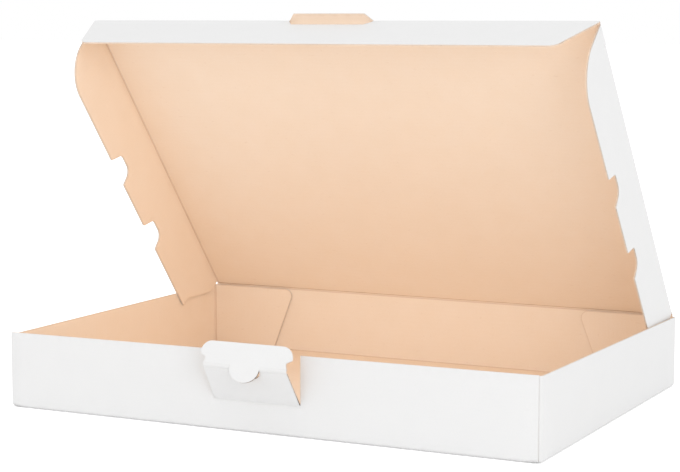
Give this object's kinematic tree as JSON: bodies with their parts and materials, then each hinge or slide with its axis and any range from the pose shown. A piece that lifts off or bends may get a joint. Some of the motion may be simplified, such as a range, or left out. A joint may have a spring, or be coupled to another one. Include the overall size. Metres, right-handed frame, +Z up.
{
  "type": "mailer box",
  "caption": "Shallow folding board box with a hinged tuck-in lid, dust flaps and a slot lock in its front wall.",
  "frame": {"origin": "centre of the tray's underside", "axes": "+X to the right along the front wall, +Y from the front wall to the hinged back wall, +Z up"},
  "size_m": [0.35, 0.2679, 0.2421],
  "materials": {
    "white_lined_board": "matt white liner outside, kraft inside"
  },
  "bodies": {
    "tray": {"tray": "white_lined_board"},
    "lid": {"lid": "white_lined_board"},
    "left_flap": {"left_flap": "white_lined_board"},
    "right_flap": {"right_flap": "white_lined_board"},
    "front_flap": {"front_flap": "white_lined_board"},
    "lock_tongue": {"lock_tongue": "white_lined_board"},
    "lock_tab": {"lock_tab": "white_lined_board"}
  },
  "joints": [
    {"name": "lid_hinge", "type": "hinge", "parent": "tray", "child": "lid", "pos_m": [0, 0.12425, 0.04675], "axis": [-1, 0, 0], "range_deg": [-51, 129]},
    {"name": "left_flap_fold", "type": "hinge", "parent": "lid", "child": "left_flap", "pos_m": [-0.1708, 0.01385, 0.18157], "axis": [0, -0.6293, 0.7771], "range_deg": [0, 80]},
    {"name": "right_flap_fold", "type": "hinge", "parent": "lid", "child": "right_flap", "pos_m": [0.1708, 0.01385, 0.18157], "axis": [0, 0.6293, -0.7771], "range_deg": [0, 80]},
    {"name": "front_flap_fold", "type": "hinge", "parent": "lid", "child": "front_flap", "pos_m": [0, -0.02974, 0.23692], "axis": [1, 0, 0], "range_deg": [-72.1, 28.5]},
    {"name": "lock_tongue_fold", "type": "hinge", "parent": "tray", "child": "lock_tongue", "pos_m": [0, -0.12425, 0.0185], "axis": [1, 0, 0], "range_deg": [-34, 56]},
    {"name": "lock_tab_fold", "type": "hinge", "parent": "lock_tongue", "child": "lock_tab", "pos_m": [0, -0.13898, 0.04035], "axis": [1, 0, 0], "range_deg": [-37, 53]}
  ],
  "couplings": [
    {"joint": "front_flap_fold", "follows": "lid_hinge", "ratio": -0.55882}
  ]
}
